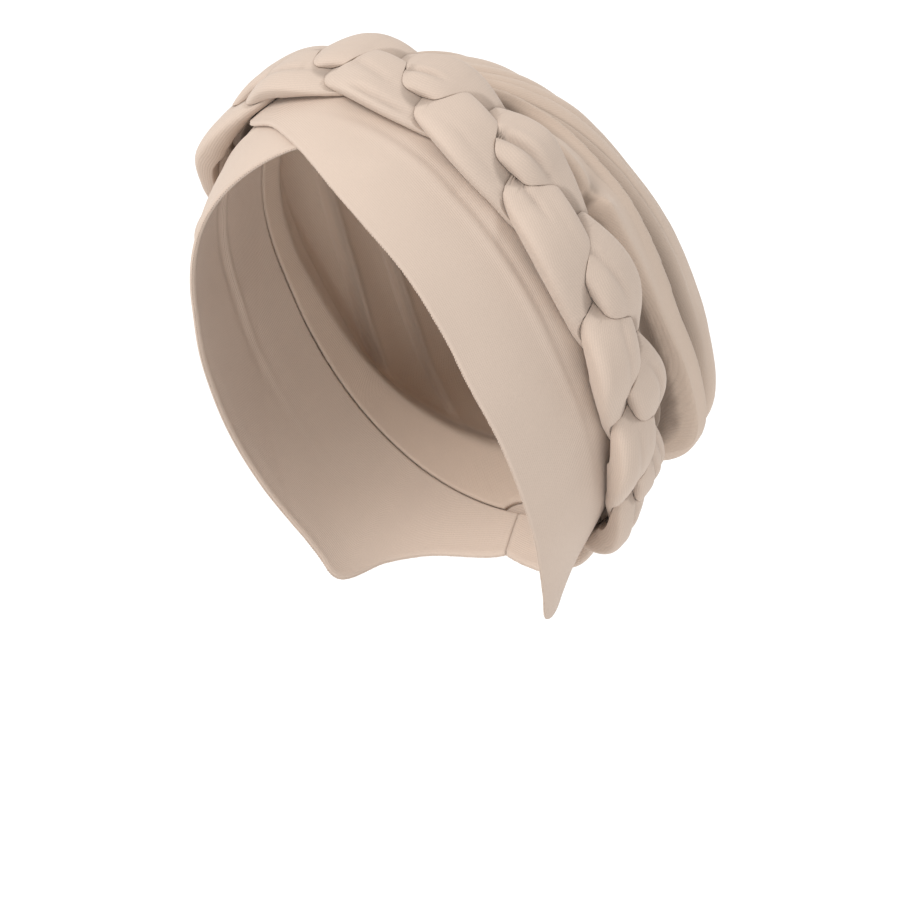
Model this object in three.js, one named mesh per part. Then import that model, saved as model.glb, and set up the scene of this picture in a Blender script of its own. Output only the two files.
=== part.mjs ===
// Slouchy turban headwrap in jersey knit, shaped as it sits on a head.
//
// Two smooth bands cross over the forehead, the left one outside, and meet at the nape.
// A braid of three stuffed strands lies as a ring over the joint between bands and crown.
// The pleated crown is gathered under the braid at the forehead and at the nape.
//
// Millimetres. The origin is where the head's highest point touches the inside of the
// crown. +Z is up, the face looks along -Y, the wearer's left is +X.

import * as THREE from "three";

// Head that carries the headwrap.
const HEAD_WIDTH = 150;
const HEAD_LENGTH = 190;
const HEAD_DEPTH = 240;
const DOME_RISE = 90;
const FACE_TAPER = 0.13;
const DOME_POWER = 2.0;
const PLAN_POWER = 2.15;

// Point inside the head that every wall is measured from, and the ring's tilt.
const HEART_BACK = 13.5;
const HEART_DOWN = 97;
const RING_TILT = THREE.MathUtils.degToRad(61.5);

// Cloth walls and the clearances between layers.
const WALL = 2.0;
const LAYER_GAP = 0.5;
const PIECE_GAP = 0.4;
const STRAND_GAP = 0.6;

// Braid.
const BRAID_WIDTH = 33;
const BRAID_RISE = 14.5;
const BRAID_SEAT = 4.0;
const STATIONS_PER_LOBE = 10;
const STRAND_SIDES = 8;
const NEIGHBOUR = 0.5 / STATIONS_PER_LOBE;

// Crown.
const SLOUCH = 42;
const CROWN_START = 5;
const RISE_RUN = 14;
const CROWN_STEPS = 22;
const FOLD_STEPS = 3;
const FOLD_REACH = 11;

// Bands.
const BAND_STEPS_ACROSS = 5;
const TAIL_ANGLE = 34;
const CROSSING_STEPS = 12;
const SIDE_STEPS = 20;
const LAYER_LEAD = 9;
const LAYER_RUN = 14;

// Head sections below the dome, as shares of depth, half width and half length.
const HEAD_ROWS = [
  { depth: 0.375, width: 1.0, front: 1.0, back: 1.0 },
  { depth: 0.48, width: 1.0, front: 0.99, back: 0.99 },
  { depth: 0.585, width: 0.955, front: 0.97, back: 0.93 },
  { depth: 0.69, width: 0.86, front: 0.93, back: 0.79 },
  { depth: 0.79, width: 0.73, front: 0.87, back: 0.62 },
  { depth: 0.895, width: 0.65, front: 0.8, back: 0.5 },
  { depth: 1.0, width: 0.61, front: 0.74, back: 0.45 },
];

// Front edge of a band. "around" runs along the ring in degrees from the forehead over
// the band's own side to the nape, "reach" is the edge's angle off the ring to the face.
const EDGE_ROWS = [
  { around: -34, reach: 1.5 },
  { around: -26, reach: 7 },
  { around: -18, reach: 12.5 },
  { around: -9, reach: 15.4 },
  { around: -2, reach: 18.8 },
  { around: 3, reach: 21.3 },
  { around: 12, reach: 26 },
  { around: 22, reach: 30 },
  { around: 34, reach: 33.5 },
  { around: 52, reach: 38.4 },
  { around: 72, reach: 41.9 },
  { around: 95, reach: 41.2 },
  { around: 115, reach: 38.2 },
  { around: 134, reach: 32.8 },
  { around: 148, reach: 27.4 },
  { around: 153, reach: 24.8 },
  { around: 158, reach: 16 },
  { around: 166, reach: 9.5 },
  { around: 180, reach: 5.5 },
];

// Where one lobe of the braid's face side ends and the next begins, along the ring.
const LOBE_ROWS = [
  { lobe: -1, around: -50 },
  { lobe: 0, around: -18 },
  { lobe: 1, around: 2.6 },
  { lobe: 2, around: 22.5 },
  { lobe: 3, around: 46 },
  { lobe: 4, around: 81 },
  { lobe: 5, around: 111 },
  { lobe: 6, around: 137 },
  { lobe: 7, around: 160 },
  { lobe: 8, around: 181 },
  { lobe: 9, around: 202 },
  { lobe: 10, around: 223 },
  { lobe: 11, around: 245 },
  { lobe: 12, around: 267 },
  { lobe: 13, around: 288 },
  { lobe: 14, around: 310 },
  { lobe: 15, around: 342 },
  { lobe: 16, around: 362.6 },
];

// Braid round the ring: shift to the face, width and rise, as shares of its sizes.
const BRAID_ROWS = [
  { around: -180, shift: -0.42, width: 0.88, rise: 0.85 },
  { around: -150, shift: -0.2, width: 0.92, rise: 0.9 },
  { around: -90, shift: 0.0, width: 0.98, rise: 1.0 },
  { around: -50, shift: -0.02, width: 1.02, rise: 0.95 },
  { around: -20, shift: -0.06, width: 1.1, rise: 0.76 },
  { around: 10, shift: -0.1, width: 1.15, rise: 0.74 },
  { around: 45, shift: 0.0, width: 1.05, rise: 0.95 },
  { around: 90, shift: 0.02, width: 1.0, rise: 1.0 },
  { around: 135, shift: 0.0, width: 0.96, rise: 0.95 },
  { around: 150, shift: -0.1, width: 0.92, rise: 0.9 },
  { around: 180, shift: -0.42, width: 0.88, rise: 0.85 },
];

// Fullness of the crown over the head, as shares of SLOUCH. "along" runs in degrees from
// the gather at the forehead over the top to the gather at the nape.
const FULL_ROWS = [
  { along: 0, middle: 0.0, quarter: 0.0, side: 0.0 },
  { along: 12, middle: 0.0, quarter: 0.0, side: 0.03 },
  { along: 25, middle: 0.0, quarter: 0.01, side: 0.1 },
  { along: 45, middle: 0.01, quarter: 0.03, side: 0.16 },
  { along: 65, middle: 0.06, quarter: 0.07, side: 0.2 },
  { along: 85, middle: 0.21, quarter: 0.17, side: 0.24 },
  { along: 105, middle: 0.48, quarter: 0.38, side: 0.3 },
  { along: 120, middle: 0.76, quarter: 0.6, side: 0.36 },
  { along: 133, middle: 0.98, quarter: 0.82, side: 0.46 },
  { along: 142, middle: 0.92, quarter: 0.8, side: 0.44 },
  { along: 152, middle: 0.6, quarter: 0.52, side: 0.3 },
  { along: 165, middle: 0.22, quarter: 0.2, side: 0.15 },
  { along: 180, middle: 0.0, quarter: 0.0, side: 0.0 },
];

// Valleys between the crown's pleats: angle off the middle line to the wearer's left at
// the front, the top and the back, and the depth there as a share of FOLD_REACH.
const FOLD_ROWS = [
  { front: -72, top: -75, back: -76, shallow: 0.15, mid: 0.3, deep: 0.35 },
  { front: -58, top: -57, back: -63, shallow: 0.3, mid: 0.45, deep: 0.45 },
  { front: -46, top: -43, back: -48, shallow: 0.28, mid: 0.36, deep: 0.36 },
  { front: -32, top: -29, back: -31, shallow: 0.22, mid: 0.28, deep: 0.3 },
  { front: -12, top: -12, back: -12, shallow: 0.18, mid: 0.26, deep: 0.28 },
  { front: 14, top: 11, back: 9, shallow: 0.15, mid: 0.26, deep: 0.3 },
  { front: 36, top: 32, back: 29, shallow: 0.15, mid: 0.24, deep: 0.26 },
  { front: 46, top: 41, back: 45, shallow: 0.24, mid: 0.28, deep: 0.25 },
  { front: 56, top: 52, back: 62, shallow: 0.36, mid: 0.45, deep: 0.55 },
  { front: 72, top: 77, back: 77, shallow: 0.12, mid: 0.3, deep: 0.36 },
];
const FOLD_TOP = 65;
const FOLD_FRONT = 25;
const FOLD_BACK = 128;

const COLOURS = { crown: 0xcbb6a4, band: 0xcfbba9, braid: 0xcdb8a6 };

const deg = THREE.MathUtils.degToRad;
const heart = new THREE.Vector3(0, HEART_BACK, -HEART_DOWN);
const ringFront = new THREE.Vector3(0, -Math.cos(RING_TILT), Math.sin(RING_TILT));
const ringFace = new THREE.Vector3(0, -Math.sin(RING_TILT), -Math.cos(RING_TILT));
const wearerLeft = new THREE.Vector3(1, 0, 0);

function ease(from, to, value) {
  return THREE.MathUtils.smoothstep(value, from, to);
}

// Smooth curve through one column of a table, flat past its first and last row.
function read(rows, key, column, at) {
  const last = rows.length - 1;
  if (at <= rows[0][key]) {
    return rows[0][column];
  }
  if (at >= rows[last][key]) {
    return rows[last][column];
  }
  let i = 0;
  while (rows[i + 1][key] < at) {
    i += 1;
  }
  const slope = (a, b) => {
    const run = rows[b][key] - rows[a][key];
    return (rows[b][column] - rows[a][column]) / run;
  };
  const span = rows[i + 1][key] - rows[i][key];
  const here = slope(Math.max(i - 1, 0), i + 1) * span;
  const there = slope(i, Math.min(i + 2, last)) * span;
  const t = (at - rows[i][key]) / span;
  const rise = rows[i + 1][column] - rows[i][column];
  const bend = here + there - 2 * rise;
  const turn = 3 * rise - 2 * here - there;
  return rows[i][column] + t * (here + t * (turn + t * bend));
}

// Above 1 outside the head, below 1 inside it.
function headShare(point) {
  const depth = -point.z / HEAD_DEPTH;
  const taper = 1 - FACE_TAPER * Math.max(-point.y, 0) / (HEAD_LENGTH / 2);
  const low = Math.max(depth, HEAD_ROWS[0].depth);
  const half = HEAD_WIDTH / 2 * read(HEAD_ROWS, "depth", "width", low) * taper;
  const end = point.y < 0 ? "front" : "back";
  const reach = HEAD_LENGTH / 2 * read(HEAD_ROWS, "depth", end, low);
  const across = Math.abs(point.x / half) ** PLAN_POWER;
  const along = Math.abs(point.y / reach) ** PLAN_POWER;
  const plan = (across + along) ** (1 / PLAN_POWER);
  const rise = Math.max(point.z + DOME_RISE, 0) / DOME_RISE;
  return (plan ** DOME_POWER + rise ** DOME_POWER) ** (1 / DOME_POWER);
}

// Distance from the heart point to the head's surface in one direction.
function headReach(direction) {
  let inside = 0;
  let outside = 2 * HEAD_DEPTH;
  const point = new THREE.Vector3();
  for (let i = 0; i < 30; i += 1) {
    const middle = (inside + outside) / 2;
    point.copy(heart).addScaledVector(direction, middle);
    if (headShare(point) < 1) {
      inside = middle;
    } else {
      outside = middle;
    }
  }
  return inside;
}

// Direction at an angle round the ring and an angle off it to the face.
function ringWay(around, off) {
  const way = new THREE.Vector3();
  way.addScaledVector(ringFront, Math.cos(deg(off)) * Math.cos(deg(around)));
  way.addScaledVector(wearerLeft, Math.cos(deg(off)) * Math.sin(deg(around)));
  way.addScaledVector(ringFace, Math.sin(deg(off)));
  return way;
}

// Direction at an angle along the crown from its front gather, and off its middle line.
function crownWay(along, off) {
  const way = new THREE.Vector3();
  way.addScaledVector(ringFront, Math.cos(deg(along)));
  way.addScaledVector(ringFace, -Math.sin(deg(along)) * Math.cos(deg(off)));
  way.addScaledVector(wearerLeft, Math.sin(deg(along)) * Math.sin(deg(off)));
  return way;
}

function at(way, height) {
  return heart.clone().addScaledVector(way, headReach(way) + height);
}

// Closed body from points and triangles, turned so that its faces look outwards.
function solid(points, faces) {
  const side = new THREE.Vector3();
  let volume = 0;
  for (const [a, b, c] of faces) {
    volume += side.crossVectors(points[b], points[c]).dot(points[a]);
  }
  const turned = volume > 0 ? faces : faces.map(([a, b, c]) => [a, c, b]);
  const geometry = new THREE.BufferGeometry().setFromPoints(points);
  geometry.setIndex(turned.flat());
  geometry.computeVertexNormals();
  return geometry;
}

// Sheet of cloth between an outer and an inner grid of points, closed along its edges.
function sheet(outer, inner) {
  const rows = outer.length;
  const columns = outer[0].length;
  const points = [...outer.flat(), ...inner.flat()];
  const faces = [];
  const quad = (a, b, c, d) => {
    faces.push([a, b, c], [a, c, d]);
  };
  const upper = (i, j) => i * columns + j;
  const lower = (i, j) => rows * columns + upper(i, j);
  for (let i = 0; i < rows - 1; i += 1) {
    for (let j = 0; j < columns - 1; j += 1) {
      quad(upper(i, j), upper(i + 1, j), upper(i + 1, j + 1), upper(i, j + 1));
      quad(lower(i, j), lower(i, j + 1), lower(i + 1, j + 1), lower(i + 1, j));
    }
    quad(upper(i, 0), lower(i, 0), lower(i + 1, 0), upper(i + 1, 0));
    const j = columns - 1;
    quad(upper(i, j), upper(i + 1, j), lower(i + 1, j), lower(i, j));
  }
  for (let j = 0; j < columns - 1; j += 1) {
    quad(upper(0, j), upper(0, j + 1), lower(0, j + 1), lower(0, j));
    const i = rows - 1;
    quad(upper(i, j), lower(i, j), lower(i, j + 1), upper(i, j + 1));
  }
  return solid(points, faces);
}

// Endless rope through closed sections that follow each other round a ring.
function ring(sections) {
  const sides = sections[0].length;
  const faces = [];
  sections.forEach((section, i) => {
    const next = (i + 1) % sections.length;
    for (let j = 0; j < sides; j += 1) {
      const k = (j + 1) % sides;
      const [a, b] = [i * sides + j, i * sides + k];
      const [c, d] = [next * sides + k, next * sides + j];
      faces.push([a, b, c], [a, c, d]);
    }
  });
  return solid(sections.flat(), faces);
}

function mesh(name, geometry, colour) {
  const material = new THREE.MeshStandardMaterial({
    color: colour,
    roughness: 0.9,
    metalness: 0,
  });
  const piece = new THREE.Mesh(geometry, material);
  piece.name = name;
  return piece;
}

// Front edge of the band on one side, seen from either side of the forehead.
function edgeOff(around) {
  return read(EDGE_ROWS, "around", "reach", around);
}

// How far the outer band is lifted by the tail of the inner one beneath it.
function layerLift(around, off) {
  const reach = headReach(ringWay(around, off));
  const past = Math.max(off - edgeOff(-around), around - TAIL_ANGLE);
  return (WALL + LAYER_GAP) * (1 - ease(LAYER_LEAD, LAYER_LEAD + LAYER_RUN, deg(past) * reach));
}

// Band from the nape seam over one side and the forehead to its tail under the braid.
function band(side, lift) {
  const seat = BRAID_SEAT;
  const turns = [];
  for (let i = 0; i <= CROSSING_STEPS; i += 1) {
    turns.push(TAIL_ANGLE * (2 * i / CROSSING_STEPS - 1));
  }
  const seam = 180 - THREE.MathUtils.radToDeg(PIECE_GAP / 2 / (HEAD_LENGTH / 2));
  for (let i = 1; i <= SIDE_STEPS; i += 1) {
    turns.push(TAIL_ANGLE + (seam - TAIL_ANGLE) * i / SIDE_STEPS);
  }
  const grid = (rise) => turns.map((turn) => {
    const rear = -THREE.MathUtils.radToDeg(seat / headReach(ringWay(turn, 0)));
    const row = [];
    for (let j = 0; j <= BAND_STEPS_ACROSS; j += 1) {
      const off = THREE.MathUtils.lerp(rear, edgeOff(turn), j / BAND_STEPS_ACROSS);
      row.push(at(ringWay(side * turn, off), lift(turn, off) + rise));
    }
    return row;
  });
  return sheet(grid(WALL), grid(0));
}

// Height of the layers under the braid.
function braidBase(around) {
  const turn = Math.abs(THREE.MathUtils.euclideanModulo(around + 180, 360) - 180);
  const past = deg(turn - TAIL_ANGLE) * HEAD_LENGTH / 2;
  const lap = 1 - ease(LAYER_LEAD + 1, LAYER_LEAD + LAYER_RUN + 1, past);
  return WALL + PIECE_GAP + lap * (WALL + LAYER_GAP);
}

// Braid at an angle round the ring: middle, sway, half width and heights of a strand.
function braidAt(around) {
  const turn = THREE.MathUtils.euclideanModulo(around + 180, 360) - 180;
  const width = BRAID_WIDTH * read(BRAID_ROWS, "around", "width", turn);
  const rise = BRAID_RISE * read(BRAID_ROWS, "around", "rise", turn);
  const half = 0.3 * width;
  const thick = 0.35 * rise;
  const climb = 0.27 * rise;
  return {
    middle: BRAID_WIDTH * read(BRAID_ROWS, "around", "shift", turn),
    sway: width / 2 - half,
    half,
    thick,
    climb,
    base: braidBase(around),
    level: braidBase(around) + rise - thick - climb,
  };
}

// Section of one strand. The three share the braid's room along lines midway between
// them, here and a little before and after, so each is an oval with a few flats.
function strandSection(strand, lobe) {
  const around = read(LOBE_ROWS, "lobe", "around", lobe);
  const braid = braidAt(around);
  const centre = (index, place) => {
    const phase = deg(30 + 120 * (place - index));
    const x = braid.sway * Math.sin(phase) / braid.half;
    const y = (braid.level + braid.climb * Math.sin(2 * phase)) / braid.thick;
    return new THREE.Vector2(x, y);
  };
  const own = centre(strand, lobe);
  const places = [lobe - NEIGHBOUR, lobe, lobe + NEIGHBOUR];
  const others = places.flatMap((place) => {
    return [1, 2].map((step) => centre(strand + step, place).sub(centre(strand, place)));
  });
  const floor = own.y - braid.base / braid.thick;
  const reach = headReach(ringWay(around, 0));
  const points = [];
  for (let i = 0; i < STRAND_SIDES; i += 1) {
    const turn = 2 * Math.PI * (i + 0.5) / STRAND_SIDES;
    const way = new THREE.Vector2(Math.cos(turn), Math.sin(turn));
    let far = way.y < 0 ? Math.min(1, floor / -way.y) : 1;
    for (const other of others) {
      const length = other.length();
      const facing = way.dot(other) / length;
      if (facing > 0) {
        const tilt = Math.hypot(other.x / braid.half, other.y / braid.thick) / length;
        far = Math.min(far, (length - STRAND_GAP * tilt) / 2 / facing);
      }
    }
    const across = braid.middle + braid.half * (own.x + far * way.x);
    const height = braid.thick * (own.y + far * way.y);
    const off = THREE.MathUtils.radToDeg(across / reach);
    points.push(at(ringWay(around, off), height));
  }
  return points;
}

function strand(index) {
  const count = 15 * STATIONS_PER_LOBE;
  const sections = [];
  for (let i = 0; i < count; i += 1) {
    sections.push(strandSection(index, i / STATIONS_PER_LOBE));
  }
  return ring(sections);
}

// Curve through three values at the front, the top and the back of the crown.
function overCrown(front, top, back, along) {
  const rows = [
    { along: FOLD_FRONT, value: front },
    { along: FOLD_TOP, value: top },
    { along: FOLD_BACK, value: back },
  ];
  return read(rows, "along", "value", along);
}

// Fullness at an angle along and off the crown's middle line.
function fullness(along, off) {
  const [middle, quarter, side] = ["middle", "quarter", "side"].map((column) => {
    return SLOUCH * read(FULL_ROWS, "along", column, along);
  });
  const c = Math.abs(Math.sin(deg(off)));
  const q = Math.SQRT1_2;
  const inMiddle = (c - q) * (c - 1) / q;
  const inQuarter = c * (c - 1) / (q * (q - 1));
  const inSide = c * (c - q) / (1 - q);
  return middle * inMiddle + quarter * inQuarter + side * inSide;
}

// Height of the crown over the head: flat under the braid, then full and pleated.
function crownHeight(along, off, widest) {
  const way = crownWay(along, off);
  const behind = Math.asin(-way.dot(ringFace)) * headReach(way);
  const x = way.dot(wearerLeft);
  const around = THREE.MathUtils.radToDeg(Math.atan2(x, way.dot(ringFront)));
  const braid = braidAt(around);
  const rear = braid.sway + braid.half - braid.middle;
  const free = ease(rear + 0.5, rear + RISE_RUN, behind);
  let height = fullness(along, off);
  for (const fold of FOLD_ROWS) {
    const line = overCrown(fold.front, fold.top, fold.back, along) * widest / 90;
    const depth = overCrown(fold.shallow, fold.mid, fold.deep, along);
    const gone = Math.min(Math.abs(off - line) / FOLD_REACH, 1);
    height -= FOLD_REACH * depth * (1 - gone) ** 2;
  }
  return free * Math.max(height, -WALL);
}

function crown() {
  const startOff = BRAID_SEAT + LAYER_GAP;
  const grid = (rise) => {
    const rows = [];
    for (let i = 0; i <= CROWN_STEPS; i += 1) {
      const along = THREE.MathUtils.lerp(CROWN_START, 180 - CROWN_START, i / CROWN_STEPS);
      const near = headReach(crownWay(along, 90));
      const widest = 90 - THREE.MathUtils.radToDeg(Math.asin(
        Math.sin(startOff / near) / Math.sin(deg(along))
      ));
      const lines = FOLD_ROWS.map((fold) => {
        return overCrown(fold.front, fold.top, fold.back, along) * widest / 90;
      });
      const stops = [-widest, ...lines, widest];
      const row = [];
      for (let k = 0; k < stops.length - 1; k += 1) {
        for (let j = 0; j < FOLD_STEPS; j += 1) {
          const off = THREE.MathUtils.lerp(stops[k], stops[k + 1], j / FOLD_STEPS);
          row.push(at(crownWay(along, off), crownHeight(along, off, widest) + rise));
        }
      }
      row.push(at(crownWay(along, widest), crownHeight(along, widest, widest) + rise));
      rows.push(row);
    }
    return rows;
  };
  return sheet(grid(WALL), grid(0));
}

const headwrap = new THREE.Group();
headwrap.name = "turban_headwrap";
headwrap.add(mesh("crown", crown(), COLOURS.crown));
headwrap.add(mesh("wrap_left", band(1, layerLift), COLOURS.band));
headwrap.add(mesh("wrap_right", band(-1, () => 0), COLOURS.band));
for (let index = 0; index < 3; index += 1) {
  headwrap.add(mesh(`braid_strand_${index + 1}`, strand(index), COLOURS.braid));
}

export default headwrap;
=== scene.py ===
"""Turban headwrap in jersey: two crossed bands, a plaited ring and a pleated crown."""

import math

import bpy
import numpy as np
from bpy.props import FloatProperty, FloatVectorProperty, PointerProperty
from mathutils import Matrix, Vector


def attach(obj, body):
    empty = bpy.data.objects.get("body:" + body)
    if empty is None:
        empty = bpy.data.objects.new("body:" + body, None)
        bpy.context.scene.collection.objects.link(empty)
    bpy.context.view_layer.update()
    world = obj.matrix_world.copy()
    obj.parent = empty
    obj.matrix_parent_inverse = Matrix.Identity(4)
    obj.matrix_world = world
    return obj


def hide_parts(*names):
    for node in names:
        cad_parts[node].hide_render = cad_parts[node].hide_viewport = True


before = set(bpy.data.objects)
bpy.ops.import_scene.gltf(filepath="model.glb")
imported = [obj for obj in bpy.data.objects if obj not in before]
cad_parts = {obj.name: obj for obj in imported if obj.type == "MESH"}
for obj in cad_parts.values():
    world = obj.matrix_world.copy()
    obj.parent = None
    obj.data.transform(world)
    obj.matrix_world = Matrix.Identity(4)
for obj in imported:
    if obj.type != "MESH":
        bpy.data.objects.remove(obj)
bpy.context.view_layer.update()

bl_info = {
    "name": "Turban Headwrap",
    "version": (1, 0, 0),
    "blender": (4, 5, 0),
    "location": "View3D > Sidebar > Headwrap",
    "description": "Makes a jersey turban with crossed bands, a plaited ring and a pleated crown",
    "category": "Add Mesh",
}

# All shapes are worked out in millimetres and stored in metres.
MM = 0.001

# The hollow that the cloth is shaped round, and how its plan and its dome are rounded.
HOLLOW_WIDTH = 150.0
HOLLOW_LENGTH = 190.0
HOLLOW_DEPTH = 240.0
DOME_RISE = 90.0
FACE_TAPER = 0.13
PLAN_POWER = 2.15

# Point from which every height of the cloth is measured, and the angle above level at
# which the ring of the braid passes over the forehead.
HEART = np.array([0.0, 13.5, -97.0])
RING_TILT = math.radians(61.5)

# How far round the ring the tails of the bands cross, and how the outer band comes down
# beyond the tail beneath it.
TAIL_ANGLE = 34.0
LAYER_LEAD = 9.0
LAYER_RUN = 14.0

# Room between two pieces that touch in the real one.
PIECE_GAP = 0.4

# depth, width, front, back: shares of the hollow's depth, half width and half length
HOLLOW_ROWS = np.array(
    [
        (0.375, 1.0, 1.0, 1.0),
        (0.48, 1.0, 0.99, 0.99),
        (0.585, 0.955, 0.97, 0.93),
        (0.69, 0.86, 0.93, 0.79),
        (0.79, 0.73, 0.87, 0.62),
        (0.895, 0.65, 0.8, 0.5),
        (1.0, 0.61, 0.74, 0.45),
    ]
)

# around, reach: the band's front edge in degrees round the ring and off it
EDGE_ROWS = np.array(
    [
        (-34, 1.5),
        (-26, 7),
        (-18, 12.5),
        (-9, 15.4),
        (-2, 18.8),
        (3, 21.3),
        (12, 26),
        (22, 30),
        (34, 33.5),
        (52, 38.4),
        (72, 41.9),
        (95, 41.2),
        (115, 38.2),
        (134, 32.8),
        (148, 27.4),
        (153, 24.8),
        (158, 16),
        (166, 9.5),
        (180, 5.5),
    ]
)

# lobe, around: where one lobe of the braid ends and the next begins
LOBE_ROWS = np.array(
    [
        (-1, -50),
        (0, -18),
        (1, 2.6),
        (2, 22.5),
        (3, 46),
        (4, 81),
        (5, 111),
        (6, 137),
        (7, 160),
        (8, 181),
        (9, 202),
        (10, 223),
        (11, 245),
        (12, 267),
        (13, 288),
        (14, 310),
        (15, 342),
        (16, 362.6),
    ]
)
LOBES = 15

# Each strand starts at one phase of its sway, the next one a third of a turn later, and
# it is highest a little after it crosses the middle. Degrees.
FIRST_PHASE = 30.0
STRAND_PHASE = 120.0
CLIMB_LAG = 40.0

# Half width of a strand as a share of the braid's width, and its half thickness and
# climb as shares of the braid's rise.
STRAND_HALF = 0.315
STRAND_THICK = 0.31
STRAND_CLIMB = 0.25

# Powers of a strand's rounding across and upwards, and how sharp its cuts are.
ROUND_ACROSS = 4.6
ROUND_UP = 2.1
PRESSED_EDGE = 26.0
RESTING_EDGE = 20.0

# around, shift, width, rise: the braid's place and shares of its width and rise
BRAID_ROWS = np.array(
    [
        (-180, -0.42, 0.88, 0.85),
        (-150, -0.2, 0.92, 0.9),
        (-90, 0.07, 0.98, 1.0),
        (-50, 0.07, 1.02, 0.95),
        (-20, -0.04, 1.1, 0.68),
        (10, -0.1, 1.15, 0.68),
        (45, 0.0, 1.05, 0.95),
        (90, 0.02, 1.0, 1.0),
        (135, 0.0, 0.96, 0.95),
        (150, -0.1, 0.92, 0.9),
        (180, -0.42, 0.88, 0.85),
    ]
)

# along, middle, quarter, side: the crown's fullness as shares of the slouch
FULL_ROWS = np.array(
    [
        (0, 0.0, 0.0, 0.0),
        (12, 0.0, 0.0, 0.03),
        (25, 0.0, 0.02, 0.12),
        (45, 0.01, 0.055, 0.2),
        (55, 0.02, 0.068, 0.235),
        (65, 0.04, 0.085, 0.27),
        (75, 0.09, 0.125, 0.3),
        (85, 0.19, 0.2, 0.33),
        (95, 0.32, 0.295, 0.355),
        (105, 0.46, 0.405, 0.38),
        (120, 0.75, 0.625, 0.41),
        (133, 0.95, 0.79, 0.42),
        (142, 0.83, 0.66, 0.3),
        (152, 0.48, 0.38, 0.18),
        (165, 0.16, 0.13, 0.1),
        (180, 0.0, 0.0, 0.0),
    ]
)

# Valleys between the crown's pleats, at four places along it: angle off the middle line,
# depth in mm, and reach in degrees towards the wearer's left and right.
FOLD_STATIONS = (25.0, 62.0, 98.0, 130.0)
FOLD_ROWS = (
    ((-78, -78, -77, -76), (1.0, 3.5, 5.0, 5.0), 7, 5),
    ((-66, -63, -64, -68), (2.2, 4.0, 5.5, 6.0), 10, 3),
    ((-54, -52, -52, -54), (2.4, 4.0, 5.5, 5.0), 10, 3),
    ((-43, -40, -42, -42), (2.2, 3.2, 3.6, 3.6), 8, 2.4),
    ((-30, -28, -29, -30), (2.0, 3.0, 3.6, 3.8), 2.4, 9),
    ((-13, -12, -12, -12), (1.8, 3.0, 3.6, 3.8), 8, 2.4),
    ((6, 4, 3, 2), (1.8, 2.6, 3.2, 3.4), 2.4, 9),
    ((22, 19, 17, 16), (2.0, 2.8, 3.2, 3.4), 2.2, 8),
    ((34, 31, 29, 28), (2.2, 3.0, 3.2, 3.2), 2.0, 7),
    ((42, 41, 43, 45), (2.4, 3.0, 2.4, 1.4), 2.0, 7),
    ((49, 49, 51, 54), (2.2, 2.2, 0.8, 0.2), 2.0, 6),
    ((52, 57, 60, 60), (1.5, 7.0, 9.5, 9.0), 3.0, 10),
    ((61, 65, 70, 72), (5.5, 1.5, 0.0, 0.0), 12, 4),
    ((78, 79, 76, 73), (0.5, 2.0, 7.0, 15.0), 6, 3.4),
)

# How far the crown's left side, where the widest pleat lies, sinks below its fullness.
SINK_ROW = (0.0, 3.0, 5.5, 0.0)

# Painted shade deep in the widest pleat and in the slot beside the braid: angle off the middle
# line at the four places, strength at each, and reach in degrees.
SHADE_ROWS = (
    ((49, 53, 56, 56), (0.1, 0.35, 0.8, 0.3), 4.0),
    ((80, 80, 74, 72), (0.0, 0.0, 0.6, 0.8), 3.4),
)

# How far behind the braid the crown has risen to its full height, in mm.
RISE_ROWS = np.array(
    [
        (0, 13),
        (30, 12),
        (45, 10),
        (58, 7.5),
        (68, 9),
        (85, 13),
        (110, 14),
        (125, 10),
        (145, 12),
        (180, 12),
    ]
)

# around, height and distance from the ring of the soft ridge beside the braid
BAND_RIDGE = np.array(
    [
        (-34, 0.0, 20.0),
        (0, 0.1, 20.5),
        (20, 0.6, 21.5),
        (45, 0.9, 23.0),
        (75, 0.8, 23.5),
        (105, 0.3, 23.0),
        (150, 0.0, 22.0),
    ]
)

# Creases along the strands: strand, first and last lobe, place across the strand at
# each (towards the face is positive), depth and width in mm.
CREASE_ROWS = (
    (0, -0.15, 0.9, 0.3, 0.1, 0.6, 1.3),
    (0, 1.4, 1.95, 0.3, 0.3, 1.1, 1.1),
    (0, 2.75, 3.25, 0.35, 0.1, 0.8, 1.2),
    (0, 4.4, 5.3, -0.2, -0.35, 0.7, 1.3),
    (0, 5.8, 6.8, 0.15, 0.0, 1.1, 1.2),
    (1, 1.15, 1.95, 0.78, 0.7, 1.0, 1.2),
    (1, 0.9, 1.7, -0.1, 0.2, 0.5, 1.5),
    (1, 2.15, 3.15, 0.45, 0.15, 2.3, 1.6),
    (1, 3.9, 4.7, -0.3, -0.1, 0.5, 1.4),
    (1, 5.15, 6.1, 0.0, 0.15, 1.1, 1.1),
    (1, 5.3, 6.0, -0.5, -0.4, 0.9, 1.0),
    (1, 6.8, 7.6, 0.1, 0.2, 1.0, 1.1),
    (1, 6.9, 7.6, -0.35, -0.2, 0.8, 1.0),
    (2, 2.2, 2.9, 0.35, 0.5, 0.25, 1.6),
    (2, 3.35, 4.0, 0.3, 0.1, 0.7, 1.3),
    (2, 4.9, 5.8, 0.25, 0.1, 0.5, 1.4),
)

# The crown is cut this wide.
CROWN_CUT_WIDTH = math.pi * 112.0

# Width of a stitch in metres, and how strongly painted shade darkens the grooves between the
# ribs of the knit. The painted shade is strongest on the braid, where the cloth is stretched.
KNIT = {
    "band_jersey": (0.0008, 0.3),
    "crown_jersey": (0.0008, 0.3),
    "braid_jersey": (0.001, 0.65),
}

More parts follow.
